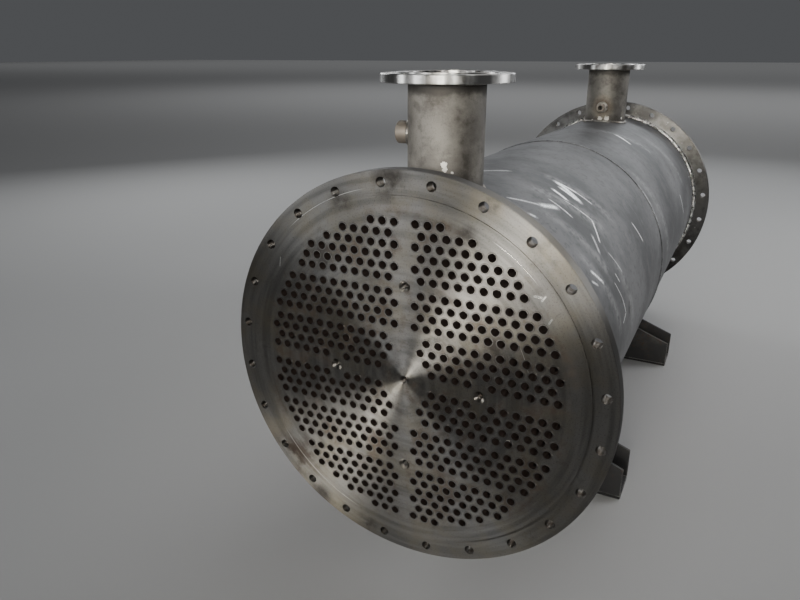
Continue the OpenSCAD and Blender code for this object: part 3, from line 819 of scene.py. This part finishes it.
# the share of broken metal is the last value of each look
weldLook = {
    "bright": {
        "metal": (0.74, 0.74, 0.725), "tint": (0.34, 0.31, 0.27),
        "shadow": (0.09, 0.085, 0.083), "broken": 0.9,
    },
    "dull": {
        "metal": (0.30, 0.285, 0.26), "tint": (0.20, 0.155, 0.11),
        "shadow": (0.075, 0.07, 0.068), "broken": 0.4,
    },
    "grey": {
        "metal": (0.26, 0.258, 0.256), "tint": (0.17, 0.168, 0.165),
        "shadow": (0.07, 0.07, 0.07), "broken": 0.4,
    },
}
# shared by all three looks: noises, layers, roughness and relief
weldPattern = {
    "cloud": (18.0, 4.0, 0.6),
    "fleck": (240.0, 3.0),
    "clump": (75.0, 4.0, 0.65),
    "tintLayer": (0.44, 0.66, 0.7),
    "fleckLayer": (0.54, 0.70, 0.8),
    "clumpLayer": (0.47, 0.57),
    "rough": (0.26, 0.3),
    "bump": (0.0006, 0.6),
}


def makeWeldFinish(name, look):
    pattern = weldPattern
    finish, tree, shader, place = newFinish(name, roughness=0.30)
    cloud, fleck, clump = noisesAt(tree, place, pattern, "cloud", "fleck", "clump")
    colour = blend(tree, layer(tree, cloud, *pattern["tintLayer"]), look["metal"], look["tint"])
    colour = blend(tree, layer(tree, fleck, *pattern["fleckLayer"]), colour, look["shadow"])
    broken = layer(tree, clump, *pattern["clumpLayer"], look["broken"])
    plug(tree, shader.inputs["Base Color"], blend(tree, broken, colour, look["shadow"]))
    plug(tree, shader.inputs["Roughness"], varied(tree, fleck, *pattern["rough"]))
    roughen(tree, shader, fleck, *pattern["bump"])
    return finish


tubeLook = {
    "end": (0.195, 0.187, 0.175),
    "inside": (0.042, 0.028, 0.024),
    "outside": (0.062, 0.050, 0.044),
    "along": (300.0, 14.0, 300.0),  # how fast the scale changes along x, y and z
    "scale": (1.0, 4.0),
    "cloud": (9.0, 4.0),
    "scaleLayer": (0.42, 0.65),
    "cloudAmount": 0.6,
    "endTurn": (0.5, 0.8),
    "rough": (0.32, 0.3),
    "endRough": 0.54,
    "wallMetal": 0.4,
    "anisotropic": 0.97,
    "bump": (0.0003, 0.5),
}


def makeTubeFinish():
    look = tubeLook
    finish, tree, shader, place = newFinish("drawnTubeSteel", roughness=0.40)
    facing = surfaceNormal(tree)
    facingY = splitXyz(tree, facing, "y")[0]
    onEnd = rise(tree, calc(tree, "ABSOLUTE", facingY), *look["endTurn"])
    scale = noiseAt(tree, stretched(tree, splitXyz(tree, place), look["along"]), *look["scale"])
    cloud = noiseAt(tree, place, *look["cloud"])
    wall = blend(tree, rise(tree, scale, *look["scaleLayer"]), look["inside"], look["outside"])
    wall = blend(tree, times(tree, cloud, look["cloudAmount"]), wall, look["inside"])
    plug(tree, shader.inputs["Base Color"], blend(tree, onEnd, wall, look["end"]))
    rough = varied(tree, scale, *look["rough"])
    endRough = times(tree, onEnd, look["endRough"])
    plug(tree, shader.inputs["Roughness"], strongest(tree, [rough, endRough]))
    plug(tree, shader.inputs["Metallic"], strongest(tree, [look["wallMetal"], onEnd]))
    plug(tree, shader.inputs["Anisotropic"], times(tree, onEnd, look["anisotropic"]))
    flat = aroundShell(tree, place)[0]
    roughen(tree, shader, scale, *look["bump"], acrossGrooves(tree, alongShell, flat, facing))
    return finish


innerLook = {
    "plate": (0.20, 0.195, 0.185),
    "scale": (0.085, 0.065, 0.05),
    "cloud": (12.0, 5.0, 0.6),
    "grain": (200.0, 3.0),
    "scaleLayer": (0.42, 0.65),
    "rough": (0.42, 0.25),
    "bump": (0.0004, 0.5),
}


def makeInnerFinish():
    look = innerLook
    finish, tree, shader, place = newFinish("dullInnerSteel")
    cloud, grain = noisesAt(tree, place, look, "cloud", "grain")
    colour = blend(tree, rise(tree, cloud, *look["scaleLayer"]), look["plate"], look["scale"])
    plug(tree, shader.inputs["Base Color"], colour)
    plug(tree, shader.inputs["Roughness"], varied(tree, cloud, *look["rough"]))
    roughen(tree, shader, grain, *look["bump"])
    return finish


saddleLook = {
    "plate": (0.018, 0.0175, 0.018),
    "rust": (0.050, 0.024, 0.013),
    "worn": (0.34, 0.33, 0.315),
    "dust": (0.050, 0.046, 0.042),
    "edgeReach": 0.0035,
    "edgeSamples": 4,
    "edgeTurn": (0.84, 0.985),
    "grain": (120.0, 4.0, 0.6),
    "cloud": (9.0, 6.0, 0.65),
    "wear": (30.0, 4.0),
    "wearLayer": (0.36, 0.52),
    "dustLayer": (0.45, 0.68),
    "rustGrains": (0.52, 0.68),
    "rustClouds": (0.40, 0.6),
    "wornMetal": 0.9,
    "rough": 0.68,
    "wornPolish": 0.3,
    "bump": (0.0005, 0.5),
}


def makeSaddleFinish():
    look = saddleLook
    finish, tree, shader, place = newFinish("darkSaddlePlate", roughness=0.62, metallic=0.0)
    bevel = tree.nodes.new("ShaderNodeBevel")
    bevel.samples = look["edgeSamples"]
    bevel.inputs["Radius"].default_value = look["edgeReach"]
    turned = calcVector(tree, "DOT_PRODUCT", bevel.outputs["Normal"], surfaceNormal(tree))
    edge = opposite(tree, rise(tree, turned, *look["edgeTurn"]))
    grain, cloud = noisesAt(tree, place, look, "grain", "cloud")
    worn = times(tree, edge, rise(tree, noiseAt(tree, place, *look["wear"]), *look["wearLayer"]))
    rusty = times(tree, rise(tree, grain, *look["rustGrains"]), rise(tree, cloud, *look["rustClouds"]))
    colour = blend(tree, rise(tree, cloud, *look["dustLayer"]), look["plate"], look["dust"])
    colour = blend(tree, rusty, colour, look["rust"])
    plug(tree, shader.inputs["Base Color"], blend(tree, worn, colour, look["worn"]))
    plug(tree, shader.inputs["Metallic"], times(tree, worn, look["wornMetal"]))
    plug(tree, shader.inputs["Roughness"], minus(tree, look["rough"], times(tree, worn, look["wornPolish"])))
    roughen(tree, shader, grain, *look["bump"])
    return finish


finishes = {
    "tubesheets": makeSheetFinish(),
    "shell": makeShellFinish(),
    "pipes": makePipeFinish(),
    "flanges": makeFlangeFinish(),
    "welds": makeWeldFinish("brightWeldSteel", weldLook["bright"]),
    "tubes": makeTubeFinish(),
    "inner_steel": makeInnerFinish(),
    "saddles": makeSaddleFinish(),
}
dullWeld = makeWeldFinish("dullWeldSteel", weldLook["dull"])
greyWeld = makeWeldFinish("greyWeldSteel", weldLook["grey"])
for part in frame["record"]["subparts"]:
    node = nodes[part["node"]]
    node.data.materials.clear()
    node.data.materials.append(finishes[part["material_slot"]])
print("finishes on the frame's nodes")


def deselectAll():
    bpy.ops.object.select_all(action="DESELECT")


def takeUp(piece):  # the one selected and active object
    deselectAll()
    piece.select_set(True)
    bpy.context.view_layer.objects.active = piece


def settle(piece, name, slot, finish, *standsFor):  # its place goes into its mesh, and it rides on the body
    takeUp(piece)
    bpy.ops.object.transform_apply(location=True, rotation=True, scale=True)
    piece.name = name
    piece.data.name = name
    piece.data.materials.clear()
    piece.data.materials.append(finish)
    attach(piece, "root")
    if standsFor:
        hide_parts(*standsFor)
    return piece


mergeWithin = 0.00001  # metres between corners that are one


def facesOut(piece):
    takeUp(piece)
    bpy.ops.object.mode_set(mode="EDIT")
    bpy.ops.mesh.select_all(action="SELECT")
    bpy.ops.mesh.remove_doubles(threshold=mergeWithin)
    bpy.ops.mesh.normals_make_consistent(inside=False)
    bpy.ops.object.mode_set(mode="OBJECT")


def pickVertices(piece, wanted):  # leaves edit mode on, with the wanted vertices selected
    takeUp(piece)
    bpy.ops.object.mode_set(mode="EDIT")
    bpy.context.tool_settings.mesh_select_mode = (True, False, False)
    bpy.ops.mesh.select_all(action="DESELECT")
    bpy.ops.object.mode_set(mode="OBJECT")
    for vertex in piece.data.vertices:
        vertex.select = wanted(vertex)
    bpy.ops.object.mode_set(mode="EDIT")


# half width of each run of weld metal, how far its middle stands off the corner as a share
# of that, ripple spacing, height of a ripple, stray and seed
beadLook = {
    "shellFront": {"half": 0.0056, "off": 0.4, "ripple": 0.0046, "lift": 0.0007, "stray": 0.0004, "seed": 3},
    "shellRear": {"half": 0.0082, "off": 0.4, "ripple": 0.0056, "lift": 0.0013, "stray": 0.0017, "seed": 8},
    "seam": {"half": 0.0052, "ripple": 0.0046, "lift": 0.0006, "stray": 0.0004, "seed": 5},
    "nozzleFoot": {"half": 0.0046, "off": 0.4, "ripple": 0.0042, "lift": 0.0006, "stray": 0.0005, "seed": 4},
    "flange": {"half": 0.0028, "off": 0.4, "ripple": 0.0036, "lift": 0.0004, "stray": 0.0002, "seed": 6},
    "coupling": {"half": 0.0042, "off": 0.3, "ripple": 0.0040, "lift": 0.0006, "stray": 0.0006, "seed": 7},
    "saddle": {"half": 0.0036, "ripple": 0.0048, "lift": 0.0006, "stray": 0.0006, "seed": 9},
}
beadPlaces = {
    "seamSunk": 0.0022,  # below the shell's surface
    "couplingOut": 0.05,  # from where its ring is cast onto the pipe
    "saddleOff": 0.0012,
    "saddleTop": 0.004,  # below the tips of the webs
}


def layBead(centre, axis, radius, look, wrapOnto=None, standOff=0.0, below=None):
    count = 2 * round(math.tau * radius / look["ripple"])
    deselectAll()
    turn = Vector(axis).to_track_quat("Z", "Y").to_euler()
    bpy.ops.mesh.primitive_circle_add(vertices=count, radius=radius, location=centre, rotation=turn)
    bead = bpy.context.object
    if wrapOnto:
        wrap = bead.modifiers.new("ontoSteel", "SHRINKWRAP")
        wrap.target = nodes[wrapOnto]
        wrap.wrap_method = "PROJECT"
        wrap.use_project_z = True
        wrap.use_negative_direction = True
        wrap.use_positive_direction = False
        wrap.offset = standOff
        bpy.ops.object.modifier_apply(modifier=wrap.name)
    if below is not None:  # only the part of the ring that hangs lower than this
        bpy.ops.object.mode_set(mode="EDIT")
        bpy.ops.mesh.select_all(action="SELECT")
        bpy.ops.mesh.bisect(plane_co=(0, 0, below), plane_no=(0, 0, 1), clear_outer=True)
        bpy.ops.object.mode_set(mode="OBJECT")
        count = len(bead.data.vertices)
    bpy.ops.object.convert(target="CURVE")
    bead = bpy.context.object
    bead.data.bevel_depth = look["half"]
    bead.data.bevel_resolution = 2
    bead.data.use_fill_caps = True
    bpy.ops.object.convert(target="MESH")
    bead = bpy.context.object
    across = len(bead.data.vertices) // count
    pickVertices(bead, lambda vertex: vertex.index // across % 2 == 0)
    bpy.ops.transform.shrink_fatten(value=look["lift"])
    bpy.ops.mesh.select_all(action="SELECT")
    bpy.ops.transform.vertex_random(offset=look["stray"], seed=look["seed"])
    bpy.ops.object.mode_set(mode="OBJECT")
    facesOut(bead)
    bpy.ops.object.shade_smooth()
    return bead


def offCorner(look):
    return look["off"] * look["half"]


def joinPieces(pieces):
    takeUp(pieces[0])
    for piece in pieces:
        piece.select_set(True)
    bpy.ops.object.join()
    return bpy.context.object


def layShellBeads():
    look = beadLook["shellFront"]
    inset = offCorner(look)
    front = layBead((0, sheetHigh.y + inset, axisHeight), alongShell, shellRadius + inset, look)
    settle(front, "frontShellBead", "welds", greyWeld, "front_shell_weld")
    look = beadLook["shellRear"]
    inset = offCorner(look)
    rear = layBead((0, rearSheetLow.y - inset, axisHeight), alongShell, shellRadius + inset, look)
    settle(rear, "rearShellBead", "welds", finishes["welds"], "rear_shell_weld")
    low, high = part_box("girth_weld")
    seamRadius = shellRadius - beadPlaces["seamSunk"]
    seam = layBead((0, (low.y + high.y) / 2, axisHeight), alongShell, seamRadius, beadLook["seam"])
    settle(seam, "shellSeamBead", "welds", greyWeld, "girth_weld")


def layNozzleBeads(end):
    low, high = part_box(end + "_nozzle_pipe")
    middle = (low.y + high.y) / 2
    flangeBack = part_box(end + "_nozzle_flange")[0].z
    look = beadLook["nozzleFoot"]
    inset = offCorner(look)
    foot = layBead((0, middle, high.z), upward, pipeRadius + inset, look, end + "_shell_course", inset)
    settle(foot, end + "NozzleFootBead", "welds", dullWeld, end + "_nozzle_weld")
    look = beadLook["flange"]
    inset = offCorner(look)
    neck = layBead((0, middle, flangeBack - inset), upward, pipeRadius + inset, look)
    settle(neck, end + "FlangeBead", "welds", dullWeld, end + "_flange_weld")


def layCouplingBead(end, outward):
    low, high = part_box(end + "_coupling")
    look = beadLook["coupling"]
    inset = offCorner(look)
    outside = (low + high) / 2 + Vector(outward) * beadPlaces["couplingOut"]
    radius = (high - low).z / 2 + inset
    bead = layBead(outside, outward, radius, look, end + "_nozzle_pipe", inset)
    settle(bead, end + "CouplingBead", "welds", dullWeld, end + "_coupling_weld")


def laySaddleBeads(end):
    low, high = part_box(end + "_saddle_webs")
    radius = shellRadius + beadPlaces["saddleOff"]
    below = high.z - beadPlaces["saddleTop"]
    pieces = [layBead((0, y, axisHeight), alongShell, radius, beadLook["saddle"], below=below)
              for y in (low.y, high.y)]
    settle(joinPieces(pieces), end + "SaddleBeads", "welds", dullWeld)


layShellBeads()
for end in ("front", "rear"):
    layNozzleBeads(end)
    laySaddleBeads(end)
layCouplingBead("front", (-1, 0, 0))
layCouplingBead("rear", (0, -1, 0))
print("weld beads laid")


# the places of the tubes in the upper right quarter, in metres from the shell's axis
tubeField = {
    "pitch": 0.025,
    "rowTurn": 60.0,  # degrees between a row and the slanting lines of tubes
    "lane": 0.044,
    "bandGap": 0.0303,
    "rows": (4, 4, 6),
    "radius": 0.335,
    "halfWidth": 0.310,
    "centreClear": 0.060,
    "innerClear": 0.030,
    "blindHole": 0.1595,
    "blindClear": 0.024,
}
# of one ring of weld metal, in metres but for the numbers of edges and the flattening
tubeWeldLook = {
    "radius": 0.0092,
    "half": 0.0012,
    "around": 14,
    "across": 4,
    "flat": 0.16,
    "stray": 0.00005,
    "seed": 2,
}


def tubeIsThere(x, height, band):
    reach = math.hypot(x, height)
    return (reach <= tubeField["radius"] and x <= tubeField["halfWidth"] and reach >= tubeField["centreClear"]
            and not (band == 0 and x < tubeField["innerClear"])
            and math.hypot(x - tubeField["blindHole"], height) > tubeField["blindClear"])


def tubeRuns():  # first place, height and number of each unbroken run of tubes
    runs = []
    pitch = tubeField["pitch"]
    rowStep = pitch * math.sin(math.radians(tubeField["rowTurn"]))
    height = tubeField["lane"] / 2
    for band, rows in enumerate(tubeField["rows"]):
        for number in range(rows):
            row = sum(tubeField["rows"][:band]) + number
            shifted = (row - band + 1) % 2 == 1
            x = tubeField["lane"] / 2 + (pitch / 2 if shifted else 0)
            start, count = None, 0
            while x < tubeField["radius"] + pitch:
                if tubeIsThere(x, height, band):
                    start, count = (x, count + 1) if start is None else (start, count + 1)
                elif start is not None:
                    runs.append((start, height, count))
                    start, count = None, 0
                x += pitch
            height += rowStep if number < rows - 1 else tubeField["bandGap"]
    return runs


def shapeTubeWeld(floorY):  # one ring, which the rows copy
    look = tubeWeldLook
    deselectAll()
    bpy.ops.mesh.primitive_torus_add(
        location=(0, floorY, 0), rotation=(math.pi / 2, 0, 0), major_segments=look["around"],
        minor_segments=look["across"], major_radius=look["radius"], minor_radius=look["half"])
    ring = bpy.context.object
    bpy.ops.object.transform_apply(location=False, rotation=True, scale=False)
    bpy.ops.object.mode_set(mode="EDIT")
    bpy.ops.mesh.select_all(action="SELECT")
    bpy.ops.transform.resize(value=(1, look["flat"], 1))
    bpy.ops.transform.vertex_random(offset=look["stray"], seed=look["seed"])
    bpy.ops.object.mode_set(mode="OBJECT")
    bpy.ops.object.shade_smooth()
    return ring


def layTubeWelds(name, floorY):
    ring = shapeTubeWeld(floorY)
    rows = []
    for start, height, count in tubeRuns():
        takeUp(ring)
        bpy.ops.object.duplicate()
        row = bpy.context.object
        row.location = (start, floorY, height)
        line = row.modifiers.new("alongRow", "ARRAY")
        line.count = count
        line.use_relative_offset = False
        line.use_constant_offset = True
        line.constant_offset_displace = (tubeField["pitch"], 0, 0)
        bpy.ops.object.modifier_apply(modifier=line.name)
        rows.append(row)
    takeUp(ring)
    bpy.ops.object.delete()
    field = joinPieces(rows)
    bpy.ops.object.transform_apply(location=True, rotation=True, scale=True)
    mirror = field.modifiers.new("fourQuarters", "MIRROR")
    mirror.use_axis = (True, False, True)
    mirror.use_mirror_merge = False
    bpy.ops.object.modifier_apply(modifier=mirror.name)
    facesOut(field)
    field.location.z = axisHeight
    settle(field, name, "tubesheets", finishes["tubesheets"])


layTubeWelds("frontTubeWelds", sheetLow.y)
layTubeWelds("rearTubeWelds", rearSheetHigh.y)
print("tube welds laid:", 4 * sum(count for start, height, count in tubeRuns()), "at each end")


# plates and fittings of the frame with their edges eased
edgeLook = {
    "saddle": {"width": 0.0014, "segments": 2},
    "coupling": {"width": 0.0013, "segments": 3},
    # degrees between faces: merged below, eased above, shaded smooth below
    "flatBelow": 0.5,
    "easedAbove": 30.0,
    "smoothBelow": 38.0,
}


def easeEdges(nodeNames, name, slot, look):
    deselectAll()
    for nodeName in nodeNames:
        nodes[nodeName].select_set(True)
    bpy.context.view_layer.objects.active = nodes[nodeNames[0]]
    bpy.ops.object.duplicate()
    if len(nodeNames) > 1:
        bpy.ops.object.join()
    piece = bpy.context.object
    facesOut(piece)
    bpy.ops.object.mode_set(mode="EDIT")
    bpy.ops.mesh.select_all(action="SELECT")
    bpy.ops.mesh.dissolve_limited(angle_limit=math.radians(edgeLook["flatBelow"]))
    bpy.ops.object.mode_set(mode="OBJECT")
    ease = piece.modifiers.new("easedEdges", "BEVEL")
    ease.width = look["width"]
    ease.segments = look["segments"]
    ease.limit_method = "ANGLE"
    ease.angle_limit = math.radians(edgeLook["easedAbove"])
    ease.harden_normals = False
    bpy.ops.object.modifier_apply(modifier=ease.name)
    bpy.ops.object.shade_smooth_by_angle(angle=math.radians(edgeLook["smoothBelow"]))
    settle(piece, name, slot, finishes[slot], *nodeNames)


for end in ("front", "rear"):
    plates = [end + "_saddle_base", end + "_saddle_webs", end + "_saddle_ribs"]
    easeEdges(plates, end + "SaddlePlates", "saddles", edgeLook["saddle"])
    easeEdges([end + "_coupling"], end + "CouplingBoss", "pipes", edgeLook["coupling"])
print("edges eased")


# drops of weld metal thrown beside the rear joint
spatterLook = {
    "drops": 90,
    "small": 0.0008,
    "large": 0.0026,
    "clear": 0.012,  # from the corner of the joint
    "alongShell": 0.055,
    "upSheet": 0.035,
    "shape": (1.3, 1.1, 0.7),
    "stray": 0.00025,
    "seed": 12,
}


def throwSpatter():
    look = spatterLook
    chance = random.Random(look["seed"])
    drops = []
    for number in range(look["drops"]):
        deselectAll()
        angle = chance.uniform(0, math.tau)
        size = chance.uniform(look["small"], look["large"])
        if number % 3:  # two of three lie on the shell, the third on the sheet
            y = rearSheetLow.y - look["clear"] - chance.random() ** 2 * look["alongShell"]
            reach = shellRadius
        else:
            y = rearSheetLow.y
            reach = shellRadius + look["clear"] + chance.random() * look["upSheet"]
        place = (reach * math.sin(angle), y, axisHeight + reach * math.cos(angle))
        bpy.ops.mesh.primitive_ico_sphere_add(subdivisions=1, radius=size, location=place,
                                              rotation=(0, angle, 0), scale=look["shape"])
        drops.append(bpy.context.object)
    spatter = joinPieces(drops)
    bpy.ops.object.mode_set(mode="EDIT")
    bpy.ops.mesh.select_all(action="SELECT")
    bpy.ops.transform.vertex_random(offset=look["stray"], seed=look["seed"])
    bpy.ops.object.mode_set(mode="OBJECT")
    bpy.ops.object.shade_smooth()
    settle(spatter, "weldSpatter", "welds", finishes["welds"])


throwSpatter()
print("spatter thrown")
